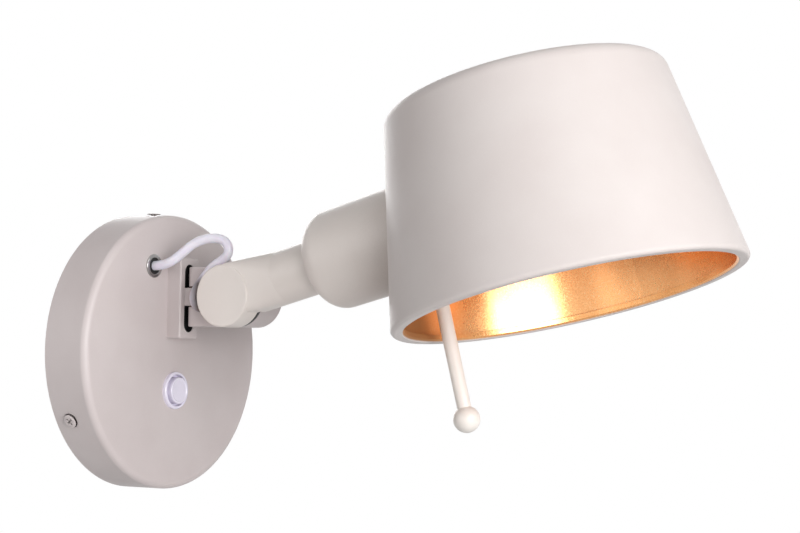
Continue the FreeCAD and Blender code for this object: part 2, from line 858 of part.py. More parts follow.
def shade_liner():
    low = lip_thickness - shade_below + liner_gap
    high = shade_above - shade_wall - liner_gap
    skin = shade_wall + liner_gap
    outer = shade_turned(shade_profile(skin, low, high, shade_top_round - skin))
    inner = shade_turned(shade_profile(skin + liner_wall, low - liner_wall, high - liner_wall,
                                       shade_top_round - skin - liner_wall))
    return on_arm(outer.cut([inner, side_hole()]))


def handle_rod():
    top = arm_rise - ring_radius + rod_in_ring
    bottom = arm_rise - rod_end_below + ball_radius - rod_in_ball
    return on_arm(rod(rod_radius, at(0, rod_along, bottom), at(0, rod_along, top)))


def handle_ball():
    centre = at(0, rod_along, arm_rise - rod_end_below)
    socket = rod(rod_radius + push_fit, centre + UP * (ball_radius - rod_in_ball),
                 centre + UP * (ball_radius + overrun))
    return on_arm(Part.makeSphere(ball_radius, centre).cut(socket))


def bulb_cap():
    start = holder_end - cap_length
    return on_arm(head_turned([(0, start), (cap_end_radius, start), (cap_radius, start + cap_end_length),
                               (cap_radius, holder_end), (0, holder_end)]))


def globe_neck():
    return math.sqrt(globe_radius ** 2 - globe_centre_ahead ** 2)


def bulb_collar():
    return on_arm(head_turned([(0, holder_end), (collar_radius, holder_end, ring_round),
                               (globe_neck(), collar_end), (0, collar_end)]))


def bulb_globe():
    centre = at(0, globe_centre, arm_rise)
    globe = Part.makeSphere(globe_radius, centre).cut(Part.makeSphere(globe_radius - globe_wall, centre))
    front = rod(globe_radius + overrun, at(0, collar_end, arm_rise),
                at(0, globe_centre + globe_radius + overrun, arm_rise))
    return on_arm(globe.common(front))


def cord(route):
    # Tube along straight runs joined by arcs that are tangent to them.
    points = [at(*place) for place in route]
    runs = [(b - a).Length for a, b in zip(points, points[1:])]
    edges = []
    start = points[0]
    length = 0.0
    for i in range(1, len(points) - 1):
        back = (points[i - 1] - points[i]).normalize()
        ahead = (points[i + 1] - points[i]).normalize()
        half_turn = (math.pi - back.getAngle(ahead)) / 2
        reach = longest_run_share * min(runs[i - 1], runs[i])
        radius = reach / math.tan(half_turn)
        print("cord bend %d: run %.1f, turn %.0f degrees, radius %.1f = %.1f diameters"
              % (i, runs[i], math.degrees(2 * half_turn), radius, radius / cord_diameter))
        first, last = points[i] + back * reach, points[i] + ahead * reach
        inwards = (back + ahead).normalize()
        crown = points[i] + inwards * (radius / math.cos(half_turn) - radius)
        edges += [Part.LineSegment(start, first).toShape(), Part.Arc(first, crown, last).toShape()]
        length += (first - start).Length + radius * 2 * half_turn
        start = last
    edges.append(Part.LineSegment(start, points[-1]).toShape())
    length += (points[-1] - start).Length
    ends = points[0], (points[1] - points[0]).normalize()
    ring = Part.Wire(Part.Circle(ends[0], ends[1], cord_diameter / 2).toShape())
    tube = Part.Wire(edges).makePipeShell([ring], True, False)
    section = math.pi * cord_diameter ** 2 / 4
    print("cord length %.1f, volume %.1f against %.1f" % (length, tube.Volume, section * length))
    return tube


def cord_loop():
    return cord(loop_route)


def cord_tail():
    return cord(tail_route)


pieces = [base_cover, side_screw_set, wall_plate, terminal_block, terminal_sleeves, terminal_screws,
          earth_screw, earth_washer, switch_bezel, switch_button, switch_spring, switch_nut, switch_body,
          cord_grommet, cord_bush, grommet_nut, cord_loop, cord_tail, hinge_block, hinge_block_screw,
          hinge_pin, swing_washers, swivel_fork, friction_washer, disc_spring, tilt_bolt, tilt_insert,
          arm_tube, arm_plug, turn_washer, nipple, lamp_cup, cup_locknut, lampholder, contact_shell,
          centre_contact, shade_ring, shade_shell, shade_liner, handle_rod, handle_ball, bulb_cap,
          bulb_collar, bulb_globe]

os.makedirs("parts", exist_ok=True)
for piece in pieces:
    shape = piece()
    if not all(solid.isValid() for solid in shape.Solids) or not shape.Solids:
        print("not a valid solid:", piece.__name__)
    print("%-18s solids %d  volume %.0f" % (piece.__name__, len(shape.Solids), shape.Volume))
    shape.exportStep("parts/%s.step" % piece.__name__)
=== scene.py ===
import math

import bmesh
import bpy
from mathutils import Matrix, Vector


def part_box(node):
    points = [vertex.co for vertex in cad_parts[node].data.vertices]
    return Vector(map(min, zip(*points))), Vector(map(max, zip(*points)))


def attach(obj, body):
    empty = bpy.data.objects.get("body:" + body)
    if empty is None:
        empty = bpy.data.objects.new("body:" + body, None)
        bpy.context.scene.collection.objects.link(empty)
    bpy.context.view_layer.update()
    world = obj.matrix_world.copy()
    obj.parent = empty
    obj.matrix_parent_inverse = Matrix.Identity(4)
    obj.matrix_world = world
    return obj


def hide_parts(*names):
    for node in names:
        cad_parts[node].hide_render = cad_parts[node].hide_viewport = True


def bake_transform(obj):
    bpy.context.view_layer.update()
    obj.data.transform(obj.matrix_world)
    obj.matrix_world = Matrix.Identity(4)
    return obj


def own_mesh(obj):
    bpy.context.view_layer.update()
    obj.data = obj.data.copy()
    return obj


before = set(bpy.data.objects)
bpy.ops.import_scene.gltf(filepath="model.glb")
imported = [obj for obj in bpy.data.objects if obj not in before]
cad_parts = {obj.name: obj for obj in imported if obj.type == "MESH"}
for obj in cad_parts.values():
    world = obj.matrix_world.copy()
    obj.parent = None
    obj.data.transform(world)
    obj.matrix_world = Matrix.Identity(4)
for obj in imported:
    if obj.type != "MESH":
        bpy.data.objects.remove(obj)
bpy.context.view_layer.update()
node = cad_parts


# The camera stands left of the lamp and just below its hinge, with a long lens, as in the photograph.
# Its turn, tilt, roll, distance and lens come from fitting the base, the shade and the rod to the picture.
view_turn, view_tilt, view_roll = math.radians(-58.14), math.radians(-2.91), math.radians(1.04)
view_distance = 0.9
view_aim_right, view_aim_up = 0.11757, 0.0377
sensor_width, picture_width, lens_in_pixels = 36.0, 800, 2021
level_right = Vector((math.cos(view_turn), math.sin(view_turn), 0))
view_back = Vector((math.sin(view_turn) * math.cos(view_tilt), -math.cos(view_turn) * math.cos(view_tilt),
                    math.sin(view_tilt)))
level_up = view_back.cross(level_right)
view_right = level_right * math.cos(view_roll) + level_up * math.sin(view_roll)
view_up = level_up * math.cos(view_roll) - level_right * math.sin(view_roll)
camera = bpy.data.objects.new("camera", bpy.data.cameras.new("camera"))
camera.data.sensor_width = sensor_width
camera.data.lens = sensor_width * lens_in_pixels / picture_width
camera.data.clip_start = 0.02
view_from = view_right * view_aim_right + view_up * view_aim_up + view_back * view_distance
camera.matrix_world = (Matrix.Translation(view_from)
                       @ Matrix((view_right, view_up, view_back)).transposed().to_4x4())
bpy.context.scene.collection.objects.link(camera)
bpy.context.scene.camera = camera
bpy.context.scene.view_settings.view_transform = "Standard"


# The lamp's cord: a round lead in a smooth lilac-white jacket. It leaves the grommet in the base, climbs in
# a loop over the hinge block, and goes down behind the tilting disc and into a hole in the disc's edge.
# The first part bends with the swing of the arm and the second with its tilt. The jacket carries painted
# shade, grey where it runs in behind the disc, for the disc's shadow on it.
cord_diameter = 0.0041
loop_route = [(-0.0162, -0.0195, 0.0369), (-0.0162, -0.0253, 0.0369), (-0.0156, -0.0312, 0.0386),
              (-0.0140, -0.0356, 0.0424), (-0.0121, -0.0406, 0.0469), (-0.0099, -0.0469, 0.0491),
              (-0.0078, -0.0531, 0.0485), (-0.0071, -0.0556, 0.04495), (-0.0069, -0.0546, 0.0409),
              (-0.0069, -0.0507, 0.03903)]
tail_route = [(-0.0069, -0.0507, 0.03903), (-0.0069, -0.04725, 0.03737), (-0.0069, -0.04305, 0.03306),
              (-0.0069, -0.03972, 0.02889), (-0.0069, -0.03675, 0.0248), (-0.0069, -0.0377, 0.0204),
              (-0.0069, -0.04145, 0.0184), (-0.0069, -0.0482, 0.02095)]
tilt_out, tilt_up = 0.0562, 0.024


def cord_line(name, route, thickness):
    curve = bpy.data.curves.new(name, "CURVE")
    curve.dimensions = "3D"
    curve.resolution_u = 16
    curve.bevel_depth = thickness / 2
    curve.bevel_resolution = 10
    spline = curve.splines.new("NURBS")
    spline.points.add(len(route) - 1)
    for point, place in zip(spline.points, route):
        point.co = (*place, 1)
    spline.order_u = 3
    spline.use_endpoint_u = True
    line = bpy.data.objects.new(name, curve)
    bpy.context.scene.collection.objects.link(line)
    bpy.context.view_layer.update()
    mesh = bpy.data.meshes.new_from_object(line.evaluated_get(bpy.context.evaluated_depsgraph_get()))
    bpy.data.objects.remove(line)
    return mesh


def cord_piece(name, route, replaced):
    path = [vertex.co[:] for vertex in cord_line(name + "_line", route, 0).vertices]
    mesh = cord_line(name, route, cord_diameter)
    mesh.shade_smooth()
    piece = bpy.data.objects.new(name, mesh)
    bpy.context.scene.collection.objects.link(piece)
    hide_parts(replaced)
    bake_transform(piece)
    return piece


def shader_group(name, inputs, outputs):
    group = bpy.data.node_groups.new(name, "ShaderNodeTree")
    for label, kind, value in inputs:
        group.interface.new_socket(name=label, in_out="INPUT", socket_type=kind).default_value = value
    for label, kind in outputs:
        group.interface.new_socket(name=label, in_out="OUTPUT", socket_type=kind)
    return group, group.nodes.new("NodeGroupInput").outputs, group.nodes.new("NodeGroupOutput").inputs


def feed(tree, sockets, values):
    # Each socket takes a plain number or colour, or a link from another node.
    for socket, value in zip(sockets, values):
        if isinstance(value, (int, float, tuple)):
            socket.default_value = value
        else:
            tree.links.new(value, socket)


def maths(tree, operation, *values):
    sum_node = tree.nodes.new("ShaderNodeMath")
    sum_node.operation = operation
    feed(tree, sum_node.inputs, values)
    return sum_node.outputs[0]


def vector_maths(tree, operation, *values):
    step = tree.nodes.new("ShaderNodeVectorMath")
    step.operation = operation
    feed(tree, step.inputs, values)
    return step.outputs["Value" if operation in ("LENGTH", "DOT_PRODUCT", "DISTANCE") else "Vector"]


def skin_place(tree):
    return tree.nodes.new("ShaderNodeTexCoord").outputs["Object"]


def noise(tree, scale, detail):
    texture = tree.nodes.new("ShaderNodeTexNoise")
    sockets = [texture.inputs[name] for name in ("Vector", "Scale", "Detail")]
    feed(tree, sockets, (skin_place(tree), scale, detail))
    return texture.outputs["Fac"]


def remap(tree, value, low, high, to_low=0.0, to_high=1.0):
    span = tree.nodes.new("ShaderNodeMapRange")
    feed(tree, span.inputs, (value, low, high, to_low, to_high))
    return span.outputs[0]


def blend_colours(tree, share, first, second):
    mix = tree.nodes.new("ShaderNodeMix")
    mix.data_type = "RGBA"
    feed(tree, (mix.inputs[0], mix.inputs[6], mix.inputs[7]), (share, first, second))
    return mix.outputs[2]


def colour(red, green, blue):
    # The sRGB parts, from 0 to 255, turned into the linear parts that a shader takes.
    shares = [part / 255 for part in (red, green, blue)]
    return tuple(s / 12.92 if s <= 0.04045 else ((s + 0.055) / 1.055) ** 2.4 for s in shares) + (1.0,)


skin_outputs = [("Colour", "NodeSocketColor"), ("Roughness", "NodeSocketFloat"),
                ("Height", "NodeSocketFloat")]
moulded, given, out = shader_group(
    "moulded_skin",
    [("Colour", "NodeSocketColor", colour(220, 214, 226)),
     ("Shade", "NodeSocketColor", colour(205, 200, 212)),
     ("Cloud Size", "NodeSocketFloat", 120.0), ("Grain Size", "NodeSocketFloat", 1500.0),
     ("Gloss Low", "NodeSocketFloat", 0.25), ("Gloss High", "NodeSocketFloat", 0.4)], skin_outputs)
cloud = noise(moulded, given["Cloud Size"], detail=3.0)
grain = noise(moulded, given["Grain Size"], detail=4.0)
moulded.links.new(blend_colours(moulded, remap(moulded, cloud, 0.35, 0.65), given["Colour"],
                                given["Shade"]), out["Colour"])
moulded.links.new(remap(moulded, maths(moulded, "ADD", cloud, grain), 0.7, 1.3, given["Gloss Low"],
                        given["Gloss High"]), out["Roughness"])
moulded.links.new(grain, out["Height"])


def new_finish(name, group, bump, depth, **values):
    finish = bpy.data.materials.new(name)
    finish.use_nodes = True
    tree = finish.node_tree
    shader = tree.nodes["Principled BSDF"]
    skin = tree.nodes.new("ShaderNodeGroup")
    skin.node_tree = group
    for label, value in values.items():
        skin.inputs[label.replace("_", " ")].default_value = value
    relief = tree.nodes.new("ShaderNodeBump")
    relief.inputs["Strength"].default_value = bump
    relief.inputs["Distance"].default_value = depth
    tree.links.new(skin.outputs["Height"], relief.inputs["Height"])
    tree.links.new(relief.outputs[0], shader.inputs["Normal"])
    tree.links.new(skin.outputs["Colour"], shader.inputs["Base Color"])
    tree.links.new(skin.outputs["Roughness"], shader.inputs["Roughness"])
    return finish, tree, shader, skin


def from_tilt_axis(tree):
    # Distance from the axis on which the arm tilts, and the place it is measured at.
    apart = tree.nodes.new("ShaderNodeSeparateXYZ")
    tree.links.new(skin_place(tree), apart.inputs[0])
    along = maths(tree, "POWER", maths(tree, "ADD", apart.outputs[1], tilt_out), 2)
    above = maths(tree, "POWER", maths(tree, "SUBTRACT", apart.outputs[2], tilt_up), 2)
    return maths(tree, "SQRT", maths(tree, "ADD", along, above)), apart.outputs


jacket, tree, shader, skin = new_finish("cord_jacket", moulded, 0.15, 0.00006, Colour=colour(238, 234, 244),
                                        Shade=colour(228, 223, 236), Gloss_Low=0.28, Gloss_High=0.42)
shader.inputs["Coat Weight"].default_value = 0.15
shader.inputs["Subsurface Weight"].default_value = 0.08
shader.inputs["Subsurface Scale"].default_value = 0.001
# Painted shade: the jacket turns grey close to the tilting disc and low down, where the disc shades it.
cord_lit_from, cord_shaded_within, cord_lit_above, cord_shaded_below = 0.0206, 0.0166, 0.0335, 0.0295
around, place = from_tilt_axis(tree)
painted_disc_shade = maths(tree, "MULTIPLY", remap(tree, around, cord_lit_from, cord_shaded_within, 0.1, 1.0),
                 remap(tree, place[2], cord_lit_above, cord_shaded_below))
tree.links.new(blend_colours(tree, painted_disc_shade, skin.outputs["Colour"], colour(100, 88, 86)),
               shader.inputs["Base Color"])
cord_loop = cord_piece("cord_over_hinge", loop_route, "cord_loop")
cord_tail = cord_piece("cord_into_disc", tail_route, "cord_tail")
for piece in (cord_loop, cord_tail):
    piece.data.materials.append(jacket)


# The studio: a pale round floor below the lamp, whose edge fades into a plain white surround, and soft
# boxes. A wide one stands in front on the left, weaker ones fill in from the left and above, and one lights
# the side that the camera doesn't see.
studio_middle, box_distance = Vector((0, -0.11, 0.03)), 1.5
floor_radius, floor_height, floor_rings, floor_sides = 1.25, -0.215, 40, 96


def soft_box(name, turn, rise, wide, high, level):
    # Placed by its turn to the right of straight in front and its rise, in degrees. The level is how bright
    # it makes a white surface that faces it.
    lamp = bpy.data.objects.new(name, bpy.data.lights.new(name, "AREA"))
    lamp.data.shape = "RECTANGLE"
    lamp.data.size, lamp.data.size_y = wide, high
    lamp.data.energy = level * math.pi ** 2 * box_distance ** 2
    turn, rise = math.radians(turn), math.radians(rise)
    towards = Vector((math.sin(turn) * math.cos(rise), -math.cos(turn) * math.cos(rise), math.sin(rise)))
    lamp.location = studio_middle + towards * box_distance
    lamp.rotation_euler = towards.to_track_quat("Z", "Y").to_euler()
    bpy.context.scene.collection.objects.link(lamp)


soft_box("box_front", -28, 3, 1.2, 0.6, 0.82)
soft_box("box_high", -6, 24, 0.9, 0.5, 0.37)
soft_box("box_left", -105, 5, 1.5, 1.2, 0.32)
soft_box("box_back", -120, 70, 0.6, 0.6, 0.15)
soft_box("box_far", 135, 12, 1.2, 0.8, 0.4)

# The surround is white to the camera and faint as light. Gloss sees it a little greyer on one side in front,
# as it would see a dim part of the room.
dim_turn, dim_from, dim_fully, dim_level, faint_level = math.radians(20), 0.72, 0.92, 0.6, 0.04
surround = bpy.data.worlds.new("white_surround")
surround.use_nodes = True
tree = surround.node_tree
ray = tree.nodes.new("ShaderNodeLightPath")
seen = maths(tree, "MAXIMUM", ray.outputs["Is Camera Ray"], ray.outputs["Is Transmission Ray"])
toward = vector_maths(tree, "DOT_PRODUCT", tree.nodes.new("ShaderNodeTexCoord").outputs["Generated"],
                      (math.sin(dim_turn), -math.cos(dim_turn), 0))
mirrored = remap(tree, toward, dim_from, dim_fully, 1.0, dim_level)
seen = maths(tree, "MAXIMUM", seen, maths(tree, "MULTIPLY", ray.outputs["Is Glossy Ray"], mirrored))
tree.links.new(remap(tree, seen, 0.0, 1.0, faint_level, 1.0), tree.nodes["Background"].inputs["Strength"])
tree.nodes["Background"].inputs["Color"].default_value = (1, 1, 1, 1)
bpy.context.scene.world = surround


def join_rows(work, rows, sides):
    # Faces between neighbouring rows of points; a row of one point closes an end.
    for low, high in zip(rows, rows[1:]):
        for s in range(sides):
            after = s + 1
            corners = [low[s % len(low)], low[after % len(low)], high[after % len(high)], high[s % len(high)]]
            corners = [corner for n, corner in enumerate(corners) if corner not in corners[:n]]
            if len(corners) > 2:
                work.faces.new(corners)


work = bmesh.new()
rows = []
for ring in range(1, floor_rings + 1):
    radius = floor_radius * ring / floor_rings
    turns = [2 * math.pi * step / floor_sides for step in range(floor_sides)]
    rows.append([work.verts.new((radius * math.cos(turn), studio_middle.y + radius * math.sin(turn),
                                 floor_height)) for turn in turns])
work.faces.new(rows[0])
join_rows(work, rows[::-1], floor_sides)
mesh = bpy.data.meshes.new("studio_floor")
work.to_mesh(mesh)
work.free()
floor = bpy.data.objects.new("studio_floor", mesh)
bpy.context.scene.collection.objects.link(floor)

paper = bpy.data.materials.new("studio_paper")
paper.use_nodes = True
tree = paper.node_tree
shader = tree.nodes["Principled BSDF"]
shader.inputs["Roughness"].default_value = 0.9
shader.inputs["Specular IOR Level"].default_value = 0.1
reach = vector_maths(tree, "DISTANCE", skin_place(tree), (studio_middle.x, studio_middle.y, floor_height))
ray = tree.nodes.new("ShaderNodeLightPath")
seen = maths(tree, "MAXIMUM", ray.outputs["Is Camera Ray"], ray.outputs["Is Glossy Ray"])
seen = maths(tree, "MAXIMUM", seen, ray.outputs["Is Transmission Ray"])
tree.links.new(blend_colours(tree, seen, colour(224, 224, 224), colour(243, 243, 243)),
               shader.inputs["Base Color"])
fade_from, fade_to, least_white = 0.15, 0.9, 0.45
fade = remap(tree, reach, fade_from, fade_to, least_white, 1.0)
white = tree.nodes.new("ShaderNodeEmission")
edge = tree.nodes.new("ShaderNodeMixShader")
tree.links.new(maths(tree, "MULTIPLY", seen, fade), edge.inputs[0])
tree.links.new(shader.outputs[0], edge.inputs[1])
tree.links.new(white.outputs[0], edge.inputs[2])
below = tree.nodes.new("ShaderNodeMixShader")
tree.links.new(tree.nodes.new("ShaderNodeNewGeometry").outputs["Backfacing"], below.inputs[0])
tree.links.new(edge.outputs[0], below.inputs[1])
tree.links.new(tree.nodes.new("ShaderNodeBsdfTransparent").outputs[0], below.inputs[2])
tree.links.new(below.outputs[0], tree.nodes["Material Output"].inputs["Surface"])
mesh.materials.append(paper)


# The base cover: a shallow drum turned from steel sheet, with a rounded front edge, in a warm grey powder
# coat. The coat has a fine orange peel, faint clouds and pale flecks, and a painted highlight along its
# edges.
coat, given, out = shader_group(
    "powder_coat",
    [("Colour", "NodeSocketColor", colour(206, 196, 195)),
     ("Cloud", "NodeSocketColor", colour(200, 189, 188)),
     ("Rubbed", "NodeSocketColor", colour(226, 219, 214)), ("Edge Width", "NodeSocketFloat", 0.0006),
     ("Peel Size", "NodeSocketFloat", 900.0), ("Gloss Low", "NodeSocketFloat", 0.38),
     ("Gloss High", "NodeSocketFloat", 0.5)], skin_outputs)
flat_above, edge_below, edge_highlight_share, fleck_share, fleck_height = 0.98, 0.8, 0.6, 0.35, 0.3
cloud = noise(coat, scale=28.0, detail=3.0)
peel = noise(coat, given["Peel Size"], detail=1.5)
fleck = noise(coat, scale=3200.0, detail=2.0)
# Painted highlight: a bevel mask lightens the coat towards the paler colour along rounded edges.
soft = coat.nodes.new("ShaderNodeBevel")
soft.samples = 4
coat.links.new(given["Edge Width"], soft.inputs["Radius"])
flat = vector_maths(coat, "DOT_PRODUCT", soft.outputs[0],
                    coat.nodes.new("ShaderNodeNewGeometry").outputs["Normal"])
edge = maths(coat, "MULTIPLY", remap(coat, flat, flat_above, edge_below),
             remap(coat, cloud, 0.4, 0.6, 0.5, 1.0))
body = blend_colours(coat, remap(coat, cloud, 0.35, 0.65), given["Colour"], given["Cloud"])
body = blend_colours(coat, maths(coat, "MULTIPLY", remap(coat, fleck, 0.6, 0.8), fleck_share), body,
                     given["Rubbed"])
body = blend_colours(coat, maths(coat, "MULTIPLY", edge, edge_highlight_share), body, given["Rubbed"])
coat.links.new(body, out["Colour"])
coat.links.new(remap(coat, maths(coat, "ADD", cloud, peel), 0.7, 1.3, given["Gloss Low"],
                     given["Gloss High"]), out["Roughness"])
coat.links.new(maths(coat, "ADD", peel, maths(coat, "MULTIPLY", fleck, fleck_height)), out["Height"])


def dress(finish, *names):
    for name in names:
        node[name].data.materials.clear()
        node[name].data.materials.append(finish)


base_coat, _, shader, _ = new_finish("base_coat", coat, 0.18, 0.00008)
shader.inputs["Coat Weight"].default_value = 0.05
dress(base_coat, "base_cover")


# Three cross-head screws hold the cover on the plate's tabs: pressed steel with a low head, painted with
# the cover, each in a small round recess in its side. Their crosses are darkened with painted shade.
zinc, given, out = shader_group(
    "plated_steel",
    [("Colour", "NodeSocketColor", colour(190, 190, 188)),
     ("Cloud", "NodeSocketColor", colour(168, 170, 172)),
     ("Spangle Size", "NodeSocketFloat", 500.0), ("Gloss Low", "NodeSocketFloat", 0.22),
     ("Gloss High", "NodeSocketFloat", 0.42)], skin_outputs)
spangle = zinc.nodes.new("ShaderNodeTexVoronoi")
zinc.links.new(given["Spangle Size"], spangle.inputs["Scale"])
zinc.links.new(skin_place(zinc), spangle.inputs["Vector"])
spangle_share, tone_low, tone_high = 0.6, 0.5, 1.1
tone = maths(zinc, "MULTIPLY", spangle.outputs["Distance"], spangle_share)
tone = maths(zinc, "ADD", tone, noise(zinc, scale=220.0, detail=4.0))
zinc.links.new(blend_colours(zinc, remap(zinc, tone, tone_low, tone_high), given["Colour"], given["Cloud"]),
               out["Colour"])
zinc.links.new(remap(zinc, tone, tone_low, tone_high, given["Gloss Low"], given["Gloss High"]),
               out["Roughness"])
zinc.links.new(maths(zinc, "ADD", noise(zinc, scale=2500.0, detail=3.0), tone), out["Height"])


def metal_finish(name, bump, depth, **values):
    finish, _, shader, _ = new_finish(name, zinc, bump, depth, **values)
    shader.inputs["Metallic"].default_value = 1.0
    return finish


bright_zinc = metal_finish("bright_zinc", 0.08, 0.00004)


def add_piece(name, work, finish, body, sharp=35):
    mesh = bpy.data.meshes.new(name)
    bmesh.ops.recalc_face_normals(work, faces=work.faces)
    work.to_mesh(mesh)
    work.free()
    mesh.shade_smooth()
    mesh.set_sharp_from_angle(angle=math.radians(sharp))
    mesh.materials.append(finish)
    piece = bpy.data.objects.new(name, mesh)
    bpy.context.scene.collection.objects.link(piece)
    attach(piece, body)
    return piece


def rounded(corners, steps=6):
    # Outline through (radius, height) corners; a third number rounds the corner with that radius.
    line = []
    for i, corner in enumerate(corners):
        here = Vector(corner[:2])
        if len(corner) == 2 or i in (0, len(corners) - 1):
            line.append(here)
            continue
        back = (Vector(corners[i - 1][:2]) - here).normalized()
        ahead = (Vector(corners[i + 1][:2]) - here).normalized()
        half = back.angle(ahead) / 2
        centre = here + (back + ahead).normalized() * corner[2] / math.sin(half)
        first = here + back * corner[2] / math.tan(half) - centre
        last = here + ahead * corner[2] / math.tan(half) - centre
        for step in range(steps + 1):
            line.append(centre + first.slerp(last, step / steps).normalized() * corner[2])
    return line


def spin(work, outline, centre, axis, sides=96):
    # Surface turned from a (radius, height) outline about an axis through the centre.
    turn = Vector(axis).to_track_quat("Z", "Y")
    rows = []
    for radius, height in outline:
        angles = [2 * math.pi * s / sides for s in range(sides if radius > 1e-7 else 1)]
        points = [Vector((radius * math.cos(angle), radius * math.sin(angle), height)) for angle in angles]
        rows.append([work.verts.new(Vector(centre) + turn @ point) for point in points])
    join_rows(work, rows, sides)


def within_one(value):
    return max(0.0, min(1.0, value))


def cross_recess(x, y, size):
    # Depth, as a share of the deepest, of a tapered cross pressed into a head of that radius.
    bar_share, bar_wall_share, arm_share, arm_taper_share, heart_share, heart_wall_share = (
        0.13, 0.05, 0.62, 0.3, 0.3, 0.12)
    x, y = abs(x) / size, abs(y) / size
    depths = [within_one((heart_share - math.hypot(x, y)) / heart_wall_share)]
    for reach, side in ((x, y), (y, x)):
        depths.append(within_one((bar_share - side) / bar_wall_share)
                      * within_one((arm_share - reach) / arm_taper_share))
    return max(depths)


def slot_recess(x, y, size):
    half_share, wall_share = 0.16, 0.05
    return within_one((half_share - abs(y) / size) / wall_share)


def hex_recess(x, y, size):
    half_share, wall_share = 0.44, 0.04
    flats = max(abs(x * math.cos(turn) + y * math.sin(turn)) for turn in (0, math.pi / 3, -math.pi / 3))
    return within_one((half_share - flats / size) / wall_share)


def driven_head(work, seat, outward, radius, rise, crown, shank, length, recess, deep, turned=0.0):
    # Screw with its head's seat at a point: a shank, a domed head, and a recess pressed into its top.
    sides, rings, rim_share, dome_power = 96, 30, 0.45, 3.2
    rim = rise * rim_share
    spin(work, rounded([(0, -length), (shank, -length, shank * 0.3), (shank, 0, radius * 0.02),
                        (radius, 0, radius * 0.04), (radius, rim)]), seat, outward, sides)
    turn = Vector(outward).to_track_quat("Z", "Y")
    rows = []
    for ring in range(rings, -1, -1):
        share = ring / rings
        level = max(rim, rise - crown * (1 - math.sqrt(1 - share ** dome_power)))
        row = []
        for s in range(sides if ring else 1):
            angle = 2 * math.pi * s / sides
            x, y = radius * share * math.cos(angle), radius * share * math.sin(angle)
            cut = recess(x * math.cos(turned) + y * math.sin(turned),
                         y * math.cos(turned) - x * math.sin(turned), radius)
            row.append(work.verts.new(Vector(seat) + turn @ Vector((x, y, level - deep * cut))))
        rows.append(row)
    join_rows(work, rows, sides)
    bmesh.ops.remove_doubles(work, verts=work.verts, dist=1e-6)


recess_floor_radius, side_screw_out = 0.059, 0.0083
work = bmesh.new()
for turn, cross in ((0, 0.3), (120, 1.1), (240, 0.62)):
    side = Vector((math.sin(math.radians(turn)), 0, math.cos(math.radians(turn))))
    driven_head(work, Vector((0, -side_screw_out, 0)) + side * recess_floor_radius, side, radius=0.0031,
                rise=0.0022, crown=0.0004, shank=0.0015, length=0.007, recess=cross_recess, deep=0.001,
                turned=cross)
screw_coat, tree, shader, skin = new_finish("painted_screw", coat, 0.12, 0.00005)
# Painted shade: ambient occlusion darkens the head's colour inside the cross recess.
cross_shade_reach, cross_shade_from, cross_shade_fully = 0.0009, 0.85, 0.5
cross_shade = tree.nodes.new("ShaderNodeAmbientOcclusion")
cross_shade.inputs["Distance"].default_value = cross_shade_reach
tree.links.new(blend_colours(tree, remap(tree, cross_shade.outputs["AO"], cross_shade_from, cross_shade_fully),
                             skin.outputs["Colour"], colour(58, 50, 46)), shader.inputs["Base Color"])
side_screws = add_piece("side_screws", work, screw_coat, "base")
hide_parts("side_screw_set")


# The wall plate behind the cover: a pressed disc of galvanised steel with three bent tabs, two keyed slots
# for the wall screws and a hole for the mains cable.
plate_zinc = metal_finish("wall_plate_zinc", 0.12, 0.00008, Colour=colour(176, 178, 178),
                          Cloud=colour(150, 153, 156), Spangle_Size=160.0, Gloss_Low=0.32, Gloss_High=0.55)
dress(plate_zinc, "wall_plate")


# The mains terminals on the plate: a three-pole block moulded in off-white plastic, with brass sleeves and
# slotted clamping screws, and beside it the brass earth screw on its zinc washer.
dull_white, _, _, _ = new_finish("dull_white_moulding", moulded, 0.2, 0.00008, Colour=colour(226, 224, 216),
                                 Shade=colour(216, 213, 204), Gloss_Low=0.42, Gloss_High=0.6)
brass = metal_finish("drawn_brass", 0.06, 0.00004, Colour=colour(208, 172, 98),
                     Cloud=colour(176, 138, 70), Spangle_Size=350.0, Gloss_Low=0.2, Gloss_High=0.38)
dress(dull_white, "terminal_block")
dress(brass, "terminal_sleeves")
dress(bright_zinc, "earth_washer")
work = bmesh.new()
low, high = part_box("terminal_screws")
clamp_radius, clamp_head, clamp_rise = 0.0013, 0.00129, 0.0008
pole_pitch = (high.x - low.x - 2 * clamp_radius) / 2
for pole in range(3):
    across = low.x + clamp_radius + pole * pole_pitch
    for height in (low.z + clamp_radius, high.z - clamp_radius):
        driven_head(work, (across, low.y + clamp_rise, height), (0, -1, 0), radius=clamp_head,
                    rise=clamp_rise, crown=0.00012, shank=0.00125, length=high.y - low.y - clamp_rise,
                    recess=slot_recess, deep=0.0005, turned=0.5 + pole + height * 40)
clamp_screws = add_piece("clamp_screws", work, bright_zinc, "base")
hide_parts("terminal_screws")
work = bmesh.new()
low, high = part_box("earth_screw")
earth_rise = 0.0026
driven_head(work, ((low.x + high.x) / 2, low.y + earth_rise, (low.z + high.z) / 2), (0, -1, 0),
            radius=0.004, rise=earth_rise, crown=0.0012, shank=0.002, length=high.y - low.y - earth_rise,
            recess=cross_recess, deep=0.0012, turned=0.4)
earth_screw = add_piece("earth_screw_head", work, brass, "base")
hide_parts("earth_screw")


